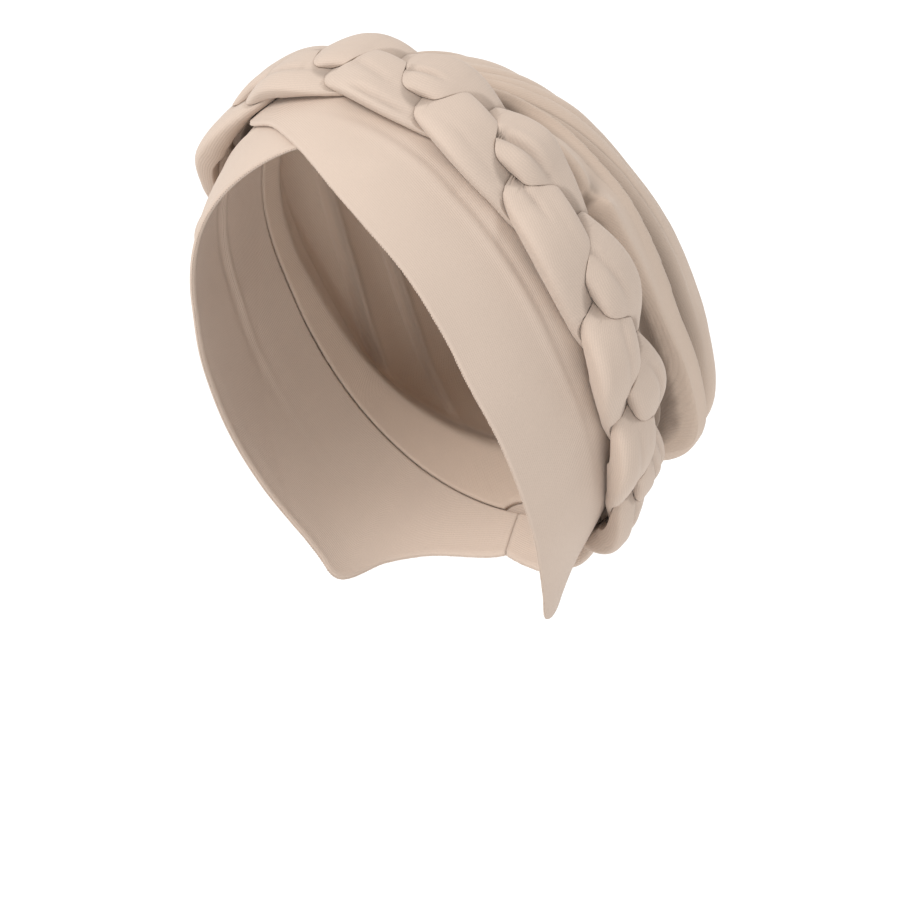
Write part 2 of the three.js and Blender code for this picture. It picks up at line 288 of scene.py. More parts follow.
# The camera stands where the photograph was taken from: degrees round and above level,
# distance from its pivot, shift of its aim to the right and upwards, and the width that
# its picture takes in. Metres.
CAMERA_ANGLES = (38.0, 11.0)
CAMERA_PIVOT = (0.0, 0.01, -0.1)
CAMERA_DISTANCE = 1.8
CAMERA_SHIFT = (0.0067, -0.0469)
PICTURE_WIDTH = 0.333
SENSOR_WIDTH = 36.0

# Side that the light comes from, its spread in degrees, its strength and its colour, and
# the strength of the white room around.
KEY_LIGHT = ((-0.03, -0.75, 0.6), 28.0, 1.85, (1.0, 0.99, 0.98))
ROOM_LIGHT = 0.875
FLOOR_HALF = 40.0

RING_FRONT = np.array([0.0, -math.cos(RING_TILT), math.sin(RING_TILT)])
RING_FACE = np.array([0.0, -math.sin(RING_TILT), -math.cos(RING_TILT)])
WEARER_LEFT = np.array([1.0, 0.0, 0.0])


# ---------------------------------------------------------------- curves and places


def ease(start, end, value):
    t = np.clip((value - start) / (end - start), 0.0, 1.0)
    return t * t * (3.0 - 2.0 * t)


def read(rows, column, at):
    """Smooth curve through one column of a table, flat past its ends."""
    rows = np.asarray(rows, float)
    keys, values = rows[:, 0], rows[:, column]
    at = np.clip(np.asarray(at, float), keys[0], keys[-1])
    last = len(keys) - 1
    i = np.clip(np.searchsorted(keys, at, side="left") - 1, 0, last - 1)
    before, after = np.maximum(i - 1, 0), np.minimum(i + 2, last)
    span = keys[i + 1] - keys[i]
    here = (values[i + 1] - values[before]) / (keys[i + 1] - keys[before]) * span
    there = (values[after] - values[i]) / (keys[after] - keys[i]) * span
    rise = values[i + 1] - values[i]
    t = (at - keys[i]) / span
    bend = here + there - 2.0 * rise
    turn = 3.0 * rise - 2.0 * here - there
    return values[i] + t * (here + t * (turn + t * bend))


def hollow_share(point):
    """Above 1 outside the hollow, below 1 inside it."""
    x, y, z = point[..., 0], point[..., 1], point[..., 2]
    taper = 1.0 - FACE_TAPER * np.maximum(-y, 0.0) / (HOLLOW_LENGTH / 2)
    low = np.maximum(-z / HOLLOW_DEPTH, HOLLOW_ROWS[0, 0])
    half = HOLLOW_WIDTH / 2 * read(HOLLOW_ROWS, 1, low) * taper
    front, back = read(HOLLOW_ROWS, 2, low), read(HOLLOW_ROWS, 3, low)
    reach = HOLLOW_LENGTH / 2 * np.where(y < 0, front, back)
    plan = (np.abs(x / half) ** PLAN_POWER + np.abs(y / reach) ** PLAN_POWER) ** (1 / PLAN_POWER)
    rise = np.maximum(z + DOME_RISE, 0.0) / DOME_RISE
    return np.sqrt(plan**2 + rise**2)


def hollow_reach(way):
    """Distance from the heart point to the hollow's surface."""
    inside = np.zeros(way.shape[:-1])
    outside = np.full(way.shape[:-1], 2 * HOLLOW_DEPTH)
    for _ in range(24):
        middle = (inside + outside) / 2
        within = hollow_share(HEART + way * middle[..., None]) < 1.0
        inside = np.where(within, middle, inside)
        outside = np.where(within, outside, middle)
    return (inside + outside) / 2


def ring_way(around, off):
    a, b = np.broadcast_arrays(np.radians(around), np.radians(off))
    way = (np.cos(b) * np.cos(a))[..., None] * RING_FRONT
    way = way + (np.cos(b) * np.sin(a))[..., None] * WEARER_LEFT
    return way + np.sin(b)[..., None] * RING_FACE


def crown_way(along, off):
    a, b = np.broadcast_arrays(np.radians(along), np.radians(off))
    way = np.cos(a)[..., None] * RING_FRONT
    way = way - (np.sin(a) * np.cos(b))[..., None] * RING_FACE
    return way + (np.sin(a) * np.sin(b))[..., None] * WEARER_LEFT


def placed(way, height):
    return HEART + way * (hollow_reach(way) + height)[..., None]


def ripple(seed, count, low, high):
    """Smooth seeded unevenness over a surface, between about -1 and 1."""
    random = np.random.default_rng(seed)
    turns = random.uniform(0, 2 * math.pi, count)
    waves = random.uniform(low, high, count)
    starts = random.uniform(0, 2 * math.pi, count)

    def wave(u, v):
        total = 0.0
        for turn, number, start in zip(turns, waves, starts):
            total = total + np.sin(number * (u * math.cos(turn) + v * math.sin(turn)) + start)
        return total / math.sqrt(count)

    return wave


# ---------------------------------------------------------------------- mesh making


def cloth_mesh(
    name, sections, lengths, closed, material, relief=None, rise=None, shade=None, front=None
):
    """Closed body through closed sections, with its cloth's lengths as UV in metres.

    Each section runs over the outside and back over the inside, so that the ends of an
    open body are closed by bridging the two halves. The relief and the way in which it
    rises are kept with the points for the folding step, and so are the painted shade in
    the folds and the row of points that makes the front edge.
    """
    rows, columns = sections.shape[:2]
    points = sections.reshape(-1, 3) * MM
    i = np.arange(rows if closed else rows - 1)
    j = np.arange(columns)
    ii, jj = np.meshgrid(i, j, indexing="ij")
    ni, nj = (ii + 1) % rows, (jj + 1) % columns
    faces = np.stack(
        [ii * columns + jj, ni * columns + jj, ni * columns + nj, ii * columns + nj], -1
    ).reshape(-1, 4)
    corners = np.stack(
        [
            lengths[ii, jj],
            lengths[ii + 1, jj],
            lengths[ii + 1, jj + 1],
            lengths[ii, jj + 1],
        ],
        -2,
    ).reshape(-1, 4, 2)
    if not closed:
        half = columns // 2
        k = np.arange(half - 1)
        for row, flip in ((0, False), (rows - 1, True)):
            quad = np.stack([k, k + 1, columns - 2 - k, columns - 1 - k], -1)
            uv = lengths[row][quad]
            quad = quad + row * columns
            faces = np.concatenate([faces, quad[:, ::-1] if flip else quad])
            corners = np.concatenate([corners, uv[:, ::-1] if flip else uv])
    a, b, c, d = (points[faces[:, n]] for n in range(4))
    volume = np.einsum("ij,ij->i", a, np.cross(b, c)) + np.einsum("ij,ij->i", a, np.cross(c, d))
    if volume.sum() < 0:
        faces, corners = faces[:, ::-1], corners[:, ::-1]
    mesh = bpy.data.meshes.new(name)
    mesh.vertices.add(len(points))
    mesh.vertices.foreach_set("co", points.ravel())
    mesh.loops.add(faces.size)
    mesh.loops.foreach_set("vertex_index", faces.ravel().astype(np.int32))
    mesh.polygons.add(len(faces))
    mesh.polygons.foreach_set("loop_start", np.arange(0, faces.size, 4, dtype=np.int32))
    mesh.update(calc_edges=True)
    layer = mesh.uv_layers.new(name="cloth")
    layer.data.foreach_set("uv", corners.reshape(-1).astype(np.float32) * MM)
    mesh.polygons.foreach_set("use_smooth", np.ones(len(faces), bool))
    mesh.materials.append(material)
    mesh.validate()
    if relief is not None:
        mesh.attributes.new("relief", "FLOAT", "POINT")
        mesh.attributes["relief"].data.foreach_set("value", relief.ravel() * MM)
        mesh.attributes.new("rise", "FLOAT_VECTOR", "POINT")
        mesh.attributes["rise"].data.foreach_set("vector", rise.ravel())
    if shade is not None:
        mesh.attributes.new("fold_shade", "FLOAT", "POINT")
        mesh.attributes["fold_shade"].data.foreach_set("value", shade.ravel())
    if front is not None:
        flags = np.zeros((rows, columns), bool)
        flags[:, front] = True
        mesh.attributes.new("front_edge", "BOOLEAN", "POINT")
        mesh.attributes["front_edge"].data.foreach_set("value", flags.ravel())
    thing = bpy.data.objects.new(name, mesh)
    bpy.context.scene.collection.objects.link(thing)
    return thing


def run_lengths(points, axis):
    """Length run so far along one axis of a grid of points."""
    steps = np.linalg.norm(np.diff(points, axis=axis), axis=-1)
    zero = np.zeros_like(np.take(steps, [0], axis=axis))
    return np.concatenate([zero, np.cumsum(steps, axis=axis)], axis=axis)


# ------------------------------------------------------------------------ materials


def socket(tree, name, kind, way="INPUT", default=None):
    made = tree.interface.new_socket(name=name, in_out=way, socket_type=kind)
    if default is not None:
        made.default_value = default


def math_node(tree, operation, first, second=None, third=None):
    node = tree.nodes.new("ShaderNodeMath")
    node.operation = operation
    for number, value in enumerate((first, second, third)):
        if value is None:
            continue
        if isinstance(value, (int, float)):
            node.inputs[number].default_value = value
        else:
            tree.links.new(value, node.inputs[number])
    return node.outputs[0]


def jersey_group():
    """Knit stitches in rows along the cloth, with soft unevenness of dye and surface, painted
    shade in the grooves between the stitches and painted shade in the folds.
    """
    tree = bpy.data.node_groups.new("Jersey knit", "ShaderNodeTree")
    socket(tree, "Colour", "NodeSocketColor", default=(0.62, 0.5, 0.41, 1.0))
    # Darker colour for the dye's unevenness and for the painted shade between the stitches.
    socket(tree, "Shade", "NodeSocketColor", default=(0.5, 0.39, 0.31, 1.0))
    # Colour of the painted shade deep in the folds.
    socket(tree, "Fold", "NodeSocketColor", default=(0.25, 0.18, 0.14, 1.0))
    socket(tree, "Stitch", "NodeSocketFloat", default=0.0008)
    socket(tree, "Course", "NodeSocketFloat", default=0.0012)
    socket(tree, "Ribbing", "NodeSocketFloat", default=0.3)
    socket(tree, "Colour", "NodeSocketColor", "OUTPUT")
    socket(tree, "Height", "NodeSocketFloat", "OUTPUT")
    start = tree.nodes.new("NodeGroupInput").outputs
    end = tree.nodes.new("NodeGroupOutput").inputs
    cloth = tree.nodes.new("ShaderNodeUVMap")
    cloth.uv_map = "cloth"
    split = tree.nodes.new("ShaderNodeSeparateXYZ")
    tree.links.new(cloth.outputs[0], split.inputs[0])
    across = math_node(tree, "DIVIDE", split.outputs[0], start["Stitch"])
    along = math_node(tree, "DIVIDE", split.outputs[1], start["Course"])
    side = math_node(tree, "PINGPONG", across, 0.5)
    rib = math_node(tree, "SINE", math_node(tree, "MULTIPLY", side, math.pi))
    slant = math_node(tree, "ADD", along, math_node(tree, "MULTIPLY", side, 1.2))
    loop = math_node(tree, "SINE", math_node(tree, "MULTIPLY", slant, 2 * math.pi))
    loop = math_node(tree, "MULTIPLY_ADD", loop, 0.25, 0.75)
    stitch = math_node(tree, "MULTIPLY", rib, loop)
    place = tree.nodes.new("ShaderNodeTexCoord").outputs["Object"]
    cloud = tree.nodes.new("ShaderNodeTexNoise")
    cloud.inputs["Scale"].default_value = 28.0
    cloud.inputs["Detail"].default_value = 3.0
    tree.links.new(place, cloud.inputs["Vector"])
    fuzz = tree.nodes.new("ShaderNodeTexNoise")
    fuzz.inputs["Scale"].default_value = 1400.0
    fuzz.inputs["Detail"].default_value = 2.0
    tree.links.new(place, fuzz.inputs["Vector"])
    tone_and_groove_shade = math_node(tree, "MULTIPLY_ADD", cloud.outputs["Fac"], 0.5, -0.1)
    tone_and_groove_shade = math_node(tree, "ADD", tone_and_groove_shade, math_node(tree, "MULTIPLY", fuzz.outputs["Fac"], 0.45))
    # Painted shade darkens the grooves between the stitches, on top of the dye's uneven tone.
    groove = math_node(tree, "SUBTRACT", 1.0, stitch)
    depth = math_node(tree, "MULTIPLY", groove, start["Ribbing"])
    tone_and_groove_shade = math_node(tree, "ADD", tone_and_groove_shade, depth)
    mix = tree.nodes.new("ShaderNodeMix")
    mix.data_type = "RGBA"
    tree.links.new(tone_and_groove_shade, mix.inputs["Factor"])
    tree.links.new(start["Colour"], mix.inputs[6])
    tree.links.new(start["Shade"], mix.inputs[7])
    # Painted shade deep in the folds, read from the fold_shade attribute.
    folded = tree.nodes.new("ShaderNodeAttribute")
    folded.attribute_name = "fold_shade"
    deep = tree.nodes.new("ShaderNodeMix")
    deep.data_type = "RGBA"
    tree.links.new(folded.outputs["Fac"], deep.inputs["Factor"])
    tree.links.new(mix.outputs[2], deep.inputs[6])
    tree.links.new(start["Fold"], deep.inputs[7])
    tree.links.new(deep.outputs[2], end["Colour"])
    height = math_node(tree, "MULTIPLY_ADD", fuzz.outputs["Fac"], 0.5, stitch)
    tree.links.new(height, end["Height"])
    return tree


def jersey_material(name, colour, shade, fold, knit, stitch, groove_shade):
    material = bpy.data.materials.new(name)
    material.use_nodes = True
    tree = material.node_tree
    shader = tree.nodes["Principled BSDF"]
    shader.inputs["Roughness"].default_value = 0.9
    shader.inputs["Specular IOR Level"].default_value = 0.25
    shader.inputs["Sheen Weight"].default_value = 0.22
    shader.inputs["Sheen Roughness"].default_value = 0.45
    shader.inputs["Sheen Tint"].default_value = (1.0, 0.94, 0.88, 1.0)
    knitting = tree.nodes.new("ShaderNodeGroup")
    knitting.node_tree = knit
    knitting.inputs["Colour"].default_value = colour
    knitting.inputs["Shade"].default_value = shade
    knitting.inputs["Fold"].default_value = fold
    knitting.inputs["Stitch"].default_value = stitch
    knitting.inputs["Ribbing"].default_value = groove_shade
    bump = tree.nodes.new("ShaderNodeBump")
    bump.inputs["Strength"].default_value = 0.25
    bump.inputs["Distance"].default_value = 0.00035
    tree.links.new(knitting.outputs["Colour"], shader.inputs["Base Color"])
    tree.links.new(knitting.outputs["Height"], bump.inputs["Height"])
    tree.links.new(bump.outputs["Normal"], shader.inputs["Normal"])
    return material


def material_for(slot):
    """The jersey of one of the slots, made when it is first asked for."""
    name = slot + "_look"
    if name in bpy.data.materials:
        return bpy.data.materials[name]
    knit = bpy.data.node_groups.get("Jersey knit") or jersey_group()
    looks = bpy.context.scene.headwrap_looks
    colour = {
        "band_jersey": looks.band_colour,
        "crown_jersey": looks.crown_colour,
        "braid_jersey": looks.braid_colour,
    }[slot]
    # Darker colour for the dye's unevenness and for the painted shade between the stitches.
    shade = [c * looks.shade for c in colour[:3]] + [1.0]
    # Colour of the painted shade deep in the folds.
    fold = [c * looks.fold_shade * t for c, t in zip(colour[:3], (1.0, 0.94, 0.9))] + [1.0]
    return jersey_material(name, tuple(colour), shade, fold, knit, *KNIT[slot])


# ----------------------------------------------------------------------- the bands


def edge_off(around):
    return read(EDGE_ROWS, 1, around)


def layer_lift(around, off, wall, gap):
    """How far the outer band is lifted by the tail of the inner one beneath it."""
    reach = hollow_reach(ring_way(around, off))
    past = np.maximum(off - edge_off(-around), around - TAIL_ANGLE)
    run = np.radians(past) * reach
    return (wall + gap) * (1.0 - ease(LAYER_LEAD, LAYER_LEAD + LAYER_RUN, run))


def band_sections(side, sizes):
    wall = sizes.wall / MM
    lifted = side > 0
    seam = 180.0 - math.degrees(PIECE_GAP / 2 / (HOLLOW_LENGTH / 2))
    turns = np.concatenate(
        [np.linspace(-TAIL_ANGLE, TAIL_ANGLE, 100)[:-1], np.linspace(TAIL_ANGLE, seam, 200)]
    )
    across = 72
    s = (1.0 - np.cos(np.linspace(0, math.pi, across))) / 2
    s = 0.5 * s + 0.5 * np.linspace(0, 1, across)
    turn, share = np.meshgrid(turns, s, indexing="ij")
    seat = np.degrees(sizes.seat / MM / hollow_reach(ring_way(turn, 0.0 * turn)))
    off = -seat + (edge_off(turn) + seat) * share
    way = ring_way(side * turn, off)
    reach = hollow_reach(way)
    width = np.radians(edge_off(turn) + seat) * reach
    to_edge = (1.0 - share) * width
    to_rear = share * width
    edge = np.minimum(to_edge, to_rear)
    roll = sizes.hem / MM
    half = wall / 2 * np.sqrt(np.clip(1.0 - (1.0 - np.minimum(edge / 1.1, 1.0)) ** 2, 0.04, 1.0))
    half = half + 0.12 * np.exp(-(((to_edge - roll / 2) / (roll / 2)) ** 2)) * (to_edge < 3 * roll)
    lift = layer_lift(turn, off, wall, sizes.layer_gap / MM) if lifted else 0.0 * turn
    u, v = np.radians(turn) * 95.0, np.radians(off) * 95.0
    wave = ripple(11 if lifted else 12, 7, 0.025, 0.08)
    relief = 0.35 * wave(u, v)
    ridge = read(BAND_RIDGE, 1, turn)
    from_ring = np.radians(off) * reach
    away = from_ring - read(BAND_RIDGE, 2, turn)
    relief = relief + 0.8 * ridge * np.exp(-(((away - 2.2) / 2.4) ** 2))
    relief = relief - 0.8 * ridge * np.exp(-(((away + 1.0) / 1.5) ** 2))
    calm = ease(0.0, 8.0, to_edge) * ease(-1.0, 10.0, from_ring - 14.0)
    height = lift + wall / 2 + np.maximum(relief, -0.5) * calm
    outer = HEART + way * (reach + height + half)[..., None]
    inner = HEART + way * (reach + height - half)[..., None]
    sections = np.concatenate([outer, inner[:, ::-1]], axis=1)
    along = run_lengths(outer, 0).mean(axis=1)
    over = run_lengths(outer, 1)
    over = over[:, -1:] - over
    flat = np.stack([over, np.broadcast_to(along[:, None], over.shape)], -1)
    lengths = np.concatenate([flat, flat[:, ::-1], flat[:, :1]], axis=1)
    return sections, lengths, across - 1, width.mean(), along[-1]


# ------------------------------------------------------------------------ the braid


def braid_at(around, sizes):
    """Middle, sway, half width, half thickness, climb, base and level of the strands."""
    turn = (np.asarray(around, float) + 180.0) % 360.0 - 180.0
    wall, gap = sizes.wall / MM, sizes.layer_gap / MM
    width = sizes.braid_width / MM * read(BRAID_ROWS, 2, turn)
    rise = sizes.braid_rise / MM * read(BRAID_ROWS, 3, turn)
    past = np.radians(np.abs(turn) - TAIL_ANGLE) * HOLLOW_LENGTH / 2
    lap = 1.0 - ease(LAYER_LEAD + 1, LAYER_LEAD + LAYER_RUN + 1, past)
    base = wall + PIECE_GAP + lap * (wall + gap)
    half, thick, climb = STRAND_HALF * width, STRAND_THICK * rise, STRAND_CLIMB * rise
    return {
        "middle": sizes.braid_width / MM * (read(BRAID_ROWS, 1, turn) + 0.04),
        "sway": width / 2 - half,
        "half": half,
        "thick": thick,
        "climb": climb,
        "base": base,
        "level": base + rise - thick - climb,
    }


def plump(cos, sin, across, up):
    """Radius of an oval whose sides follow one power and whose top another."""
    cos, sin = np.abs(cos), np.abs(sin)
    radius = (cos**2.4 + sin**2.4) ** (-1 / 2.4)
    for _ in range(12):
        x, y = radius * cos, radius * sin
        over = x**across + y**up - 1.0
        slope = (across * x**across + up * y**up) / radius
        radius = radius - over / slope
    return radius


def softened(first, second, sharpness):
    """Smaller of two radii, with the corner between them rounded off."""
    small, large = np.minimum(first, second), np.maximum(first, second)
    return small * (1.0 + (small / large) ** sharpness) ** (-1.0 / sharpness)


def strand_sections(index, sizes):
    """Sections of one strand, cut back where the other two press on it.

    Each strand sways from side to side and climbs twice for each sway, a third of a turn
    after the one before it.
    """
    per_lobe, sides = 48, 120
    lobe = np.arange(LOBES * per_lobe) / per_lobe
    around = read(LOBE_ROWS, 1, lobe)
    braid = braid_at(around, sizes)
    lag = math.radians(CLIMB_LAG)

    def centre(number):
        phase = np.radians(FIRST_PHASE + STRAND_PHASE * (lobe - number))
        x = braid["sway"] * np.sin(phase) / braid["half"]
        y = (braid["level"] + braid["climb"] * np.sin(2 * phase - lag)) / braid["thick"]
        return x, y

    x, y = centre(index)
    floor = (y - braid["base"] / braid["thick"])[:, None]

    def radius(cos, sin):
        # The underside sags until it rests on the bands or the crown.
        sag = np.where(sin < 0, 1.0 / np.maximum(1.05 * floor, 1.0), 1.0) * sin
        scale = np.hypot(cos, sag)
        far = plump(cos / scale, sag / scale, ROUND_ACROSS, ROUND_UP) / scale
        free, painted_edge_shadow = far, 0.0 * far
        for number in (index + 1, index + 2):
            ox, oy = centre(number)
            ox, oy = ox - x, oy - y
            length = np.hypot(ox, oy)
            facing = (ox[:, None] * cos + oy[:, None] * sin) / length[:, None]
            tilt = np.hypot(ox / braid["half"], oy / braid["thick"]) / length
            # The strand on top keeps its round edge, and the one below is cut back by it.
            kept = np.clip(0.5 - 0.25 * oy, 0.33, 0.67)
            room = (length * kept - sizes.strand_gap / MM * tilt / 2)[:, None]
            limit = np.where(facing > 0.02, room / np.maximum(facing, 0.02), 50.0)
            far = softened(far, limit, PRESSED_EDGE)
            # Painted shadow on the lower strand beside the edge of the strand on top.
            below = np.clip(0.35 + 0.5 * oy, 0.0, 1.0)[:, None]
            painted_edge_shadow = np.maximum(painted_edge_shadow, below * ease(1.45, 0.95, limit / free))
        down = np.where(sin < -0.02, floor / np.maximum(-sin, 0.02), 50.0)
        return softened(far, down, RESTING_EDGE), painted_edge_shadow

    # Points are set closer together where a section bends.
    fine = np.broadcast_to(np.linspace(0, 2 * math.pi, 601) + 1.5 * math.pi, (len(lobe), 601))
    far, _ = radius(np.cos(fine), np.sin(fine))
    wide = braid["half"][:, None] * far * np.cos(fine)
    tall = braid["thick"][:, None] * far * np.sin(fine)
    step = np.hypot(np.diff(wide), np.diff(tall))
    heading = np.unwrap(np.arctan2(np.diff(tall), np.diff(wide)))
    bend = np.abs(np.diff(heading, append=heading[:, :1] + 2 * math.pi))
    weight = step / step.sum(axis=1, keepdims=True) + 0.11 * np.minimum(bend, 0.5)
    weight = weight * (0.4 + 0.6 * ease(-0.75, -0.35, np.sin(fine[:, :-1])))
    kernel = np.hanning(15) / np.hanning(15).sum()
    weight = sum(k * np.roll(weight, n - 7, axis=1) for n, k in enumerate(kernel))
    level = np.concatenate([0 * weight[:, :1], np.cumsum(weight, axis=1)], axis=1)
    level = level / level[:, -1:]
    even = np.linspace(0, 1, sides, endpoint=False)
    angle = np.stack([np.interp(even, row, turn) for row, turn in zip(level, fine)])
    cos, sin = np.cos(angle), np.sin(angle)
    far, painted_edge_shadow = radius(cos, sin)

    across = braid["middle"][:, None] + braid["half"][:, None] * (x[:, None] + far * cos)
    height = braid["thick"][:, None] * (y[:, None] + far * sin)
    reach = hollow_reach(ring_way(around, 0.0 * around))
    off = np.degrees(across / reach[:, None])
    way = ring_way(around[:, None] + 0.0 * off, off)
    sections = placed(way, height)

    # Creases run along the upper side, where the cloth is pinched at the crossings.
    share = far * cos
    relief = np.zeros_like(far)
    upper = ease(0.1, 0.5, far * sin)
    random = np.random.default_rng(40 + index)
    rows = [row[1:] for row in CREASE_ROWS if row[0] == index]
    for first in np.arange(index - 1.5, LOBES, 1.5):
        seat = random.uniform(-0.6, 0.6, 3)
        length = random.uniform(0.4, 0.9)
        rows.append((first, first + length, seat[0], seat[1], random.uniform(0.08, 0.25), 1.4))
    for first, last, here, there, depth, width in rows:
        run = (lobe - first + 1.0) % LOBES - 1.0
        t = run / (last - first)
        fade = ease(-0.05, 0.3, t) * (1.0 - ease(0.6, 1.05, t))
        line = here + (there - here) * np.clip(t, 0, 1)
        away = (share - line[:, None]) * braid["half"][:, None] / width
        valley = np.exp(-(np.abs(away) ** 1.5))
        valley = valley - 0.3 * np.exp(-(((np.abs(away) - 2.2) / 1.3) ** 2))
        relief = relief - depth * fade[:, None] * valley * upper
    # Painted shadow beside the edges of the strands on top, and painted shade in the creases.
    shade = np.clip(0.6 * painted_edge_shadow**2 - 0.15 * relief, 0, 1)

    middle = sections.mean(axis=1)
    steps = np.linalg.norm(np.roll(middle, -1, axis=0) - middle, axis=-1)
    run = np.concatenate([[0.0], np.cumsum(steps)])
    closed = np.concatenate([sections, sections[:, :1]], axis=1)
    closed = np.concatenate([closed, closed[:1]])
    over = run_lengths(closed, 1)
    lengths = np.stack([over, np.broadcast_to(run[:, None], over.shape)], -1)
    return sections, lengths, relief, way, shade


# ------------------------------------------------------------------------ the crown


def over_crown(values, along):
    return read(np.column_stack([FOLD_STATIONS, values]), 1, along)


def pleats(along, off, widest):
    """Depth of the pleats, which all run into the gathers at the forehead and the nape."""
    depth_here = np.zeros_like(off)
    for lines, depths, left, right in FOLD_ROWS:
        away = off - over_crown(lines, along) * widest / 90.0
        gone = np.where(away > 0, away / left, -away / right)
        gone = np.clip(np.sqrt(gone**2 + 0.0016), 0, 1)
        # The narrow side drops from a crisp fold, and the broad one runs out gently.
        crisp = (away > 0) == (left < right)
        slope = np.where(crisp, 1.0 - gone**1.8, (1.0 - gone) ** 2)
        depth_here = depth_here + over_crown(depths, along) * slope
    sink = over_crown(SINK_ROW, along) * np.exp(-(((off - 70.0) / 14.0) ** 2))
    return (depth_here + sink) * (1.0 - 0.75 * ease(126.0, 150.0, along))


def star_gather(along, off):
    """Creases that run out from the place where the braid pinches the crown's side."""
    run, aside = (along - 58.0) * 2.0, (78.0 - off) * 1.75
    far = np.hypot(run, aside)
    turn = np.degrees(np.arctan2(run, aside))
    wave = np.cos(np.radians((turn + 48.0) * 4.0)) * (np.abs(turn) < 100)
    lift = 4.2 * wave * np.minimum(far / 6.0, 1.0) * np.exp(-far / 16.0)
    return lift - 1.2 * np.exp(-((far / 5.0) ** 2))


def crown_height(along, off, widest, sizes):
    way = crown_way(along, off)
    reach = hollow_reach(way)
    behind = np.arcsin(np.clip(-(way @ RING_FACE), -1, 1)) * reach
    around = np.degrees(np.arctan2(way @ WEARER_LEFT, way @ RING_FRONT))
    braid = braid_at(around, sizes)
    rear = braid["sway"] + braid["half"] - braid["middle"]
    free = ease(rear + 0.3, rear + read(RISE_ROWS, 1, along), behind)
    c = np.abs(np.sin(np.radians(off)))
    q = math.sqrt(0.5)
    slouch = sizes.slouch / MM
    middle, quarter, side = (slouch * read(FULL_ROWS, n, along) for n in (1, 2, 3))
    full = middle * (c - q) * (c - 1) / q
    full = full + quarter * c * (c - 1) / (q * (q - 1))
    full = full + side * c * (c - q) / (1 - q)
    u, v = off / 12.0, along / 26.0
    full = full + 0.8 * ripple(5, 8, 0.6, 2.4)(u, v) * ease(20, 60, along)
    folded = full - pleats(along, off, widest) + star_gather(along, off)
    folded = folded + 0.3 * ripple(6, 9, 2.0, 6.0)(u * 1.5, v * 0.6)
    folded = np.maximum(folded, -1.7)
    return free * full, free * (folded - full), way, reach


def blurred(grid, wide, tall):
    """Grid smoothed over so many of its columns and rows."""
    for axis, spread in ((1, wide), (0, tall)):
        reach = int(3 * spread)
        weights = np.exp(-0.5 * (np.arange(-reach, reach + 1) / spread) ** 2)
        weights = weights / weights.sum()
        pad = [(0, 0), (0, 0)]
        pad[axis] = (reach, reach)
        wider = np.pad(grid, pad, mode="edge")
        size = grid.shape[axis]
        grid = sum(
            w * np.take(wider, np.arange(n, n + size), axis=axis) for n, w in enumerate(weights)
        )
    return grid


def hollow_shade(height):
    """How deep each place lies below the cloth around it, from 0 to 1, used as painted shade in
    the hollows.
    """
    near = np.clip((blurred(height, 3.0, 1.5) - height - 0.12) / 0.6, 0, 1)
    wide = np.clip((blurred(height, 12.0, 4.0) - height - 1.2) / 4.0, 0, 1)
    return np.clip(0.6 * near + 0.7 * wide, 0, 1)


def crown_sections(sizes):
    wall = sizes.wall / MM
    rows, across = 128, 368
    start = 5.0
    along = np.linspace(start, 180.0 - start, rows)
    near = hollow_reach(crown_way(along, 90.0 + 0.0 * along))
    start_off = (sizes.seat + sizes.layer_gap) / MM
    widest = 90.0 - np.degrees(np.arcsin(np.sin(start_off / near) / np.sin(np.radians(along))))
    share = np.linspace(-1, 1, across)
    along_grid, share_grid = np.meshgrid(along, share, indexing="ij")
    off = share_grid * widest[:, None]
    full, relief, way, reach = crown_height(along_grid, off, widest[:, None], sizes)
    to_edge = (1.0 - np.abs(share_grid)) * np.radians(widest)[:, None] * reach
    to_edge = to_edge * np.sin(np.radians(along_grid))
    half = wall / 2 * np.sqrt(np.clip(1.0 - (1.0 - np.minimum(to_edge / 1.0, 1.0)) ** 2, 0.05, 1))
    outer = HEART + way * (reach + full + wall / 2 + half)[..., None]
    inner = HEART + way * (reach + full + wall / 2 - half)[..., None]
    sections = np.concatenate([outer, inner[:, ::-1]], axis=1)
    # Painted shade in the hollows of the cloth.
    shade = hollow_shade(full + relief)
    # Painted shade is darkest behind the widest pleat, where that pleat runs in behind the
    # braid, and in the slot below it beside the braid.
    for lines, depths, reach_off in SHADE_ROWS:
        away = (off - over_crown(lines, along_grid)) / reach_off
        shade = shade + over_crown(depths, along_grid) * np.exp(-(away**2))
    # Painted shade in a pocket of the crown beside the braid.
    pocket = ((along_grid - 31) / 4) ** 2 + ((off - 61 + 0.25 * (along_grid - 31)) / 4.5) ** 2
    shade = np.clip(shade + 0.9 * np.exp(-pocket), 0, 1)
    # The inside of the crown gets a weaker copy of the painted shade.
    shade = np.concatenate([shade, 0.4 * shade[:, ::-1]], axis=1)
    relief = np.concatenate([relief, relief[:, ::-1]], axis=1)
    rise = np.concatenate([way, way[:, ::-1]], axis=1)
    run = run_lengths(outer, 0)[:, across // 2]
    over = run_lengths(outer, 1)
    over = over - over[:, across // 2 : across // 2 + 1]
    flat = np.stack([over, np.broadcast_to(run[:, None], over.shape)], -1)
    lengths = np.concatenate([flat, flat[:, ::-1], flat[:, :1]], axis=1)
    return sections, lengths, relief, rise, shade, CROWN_CUT_WIDTH, run[-1]


# ------------------------------------------------------------------ node-built steps


def linked(tree, kind, links=(), **settings):
    """New node with its settings, and its inputs linked or set by name or number."""
    node = tree.nodes.new(kind)
    for key, value in settings.items():
        setattr(node, key, value)
    for place, value in links:
        if hasattr(value, "is_output"):
            tree.links.new(value, node.inputs[place])
        else:
            node.inputs[place].default_value = value
    return node


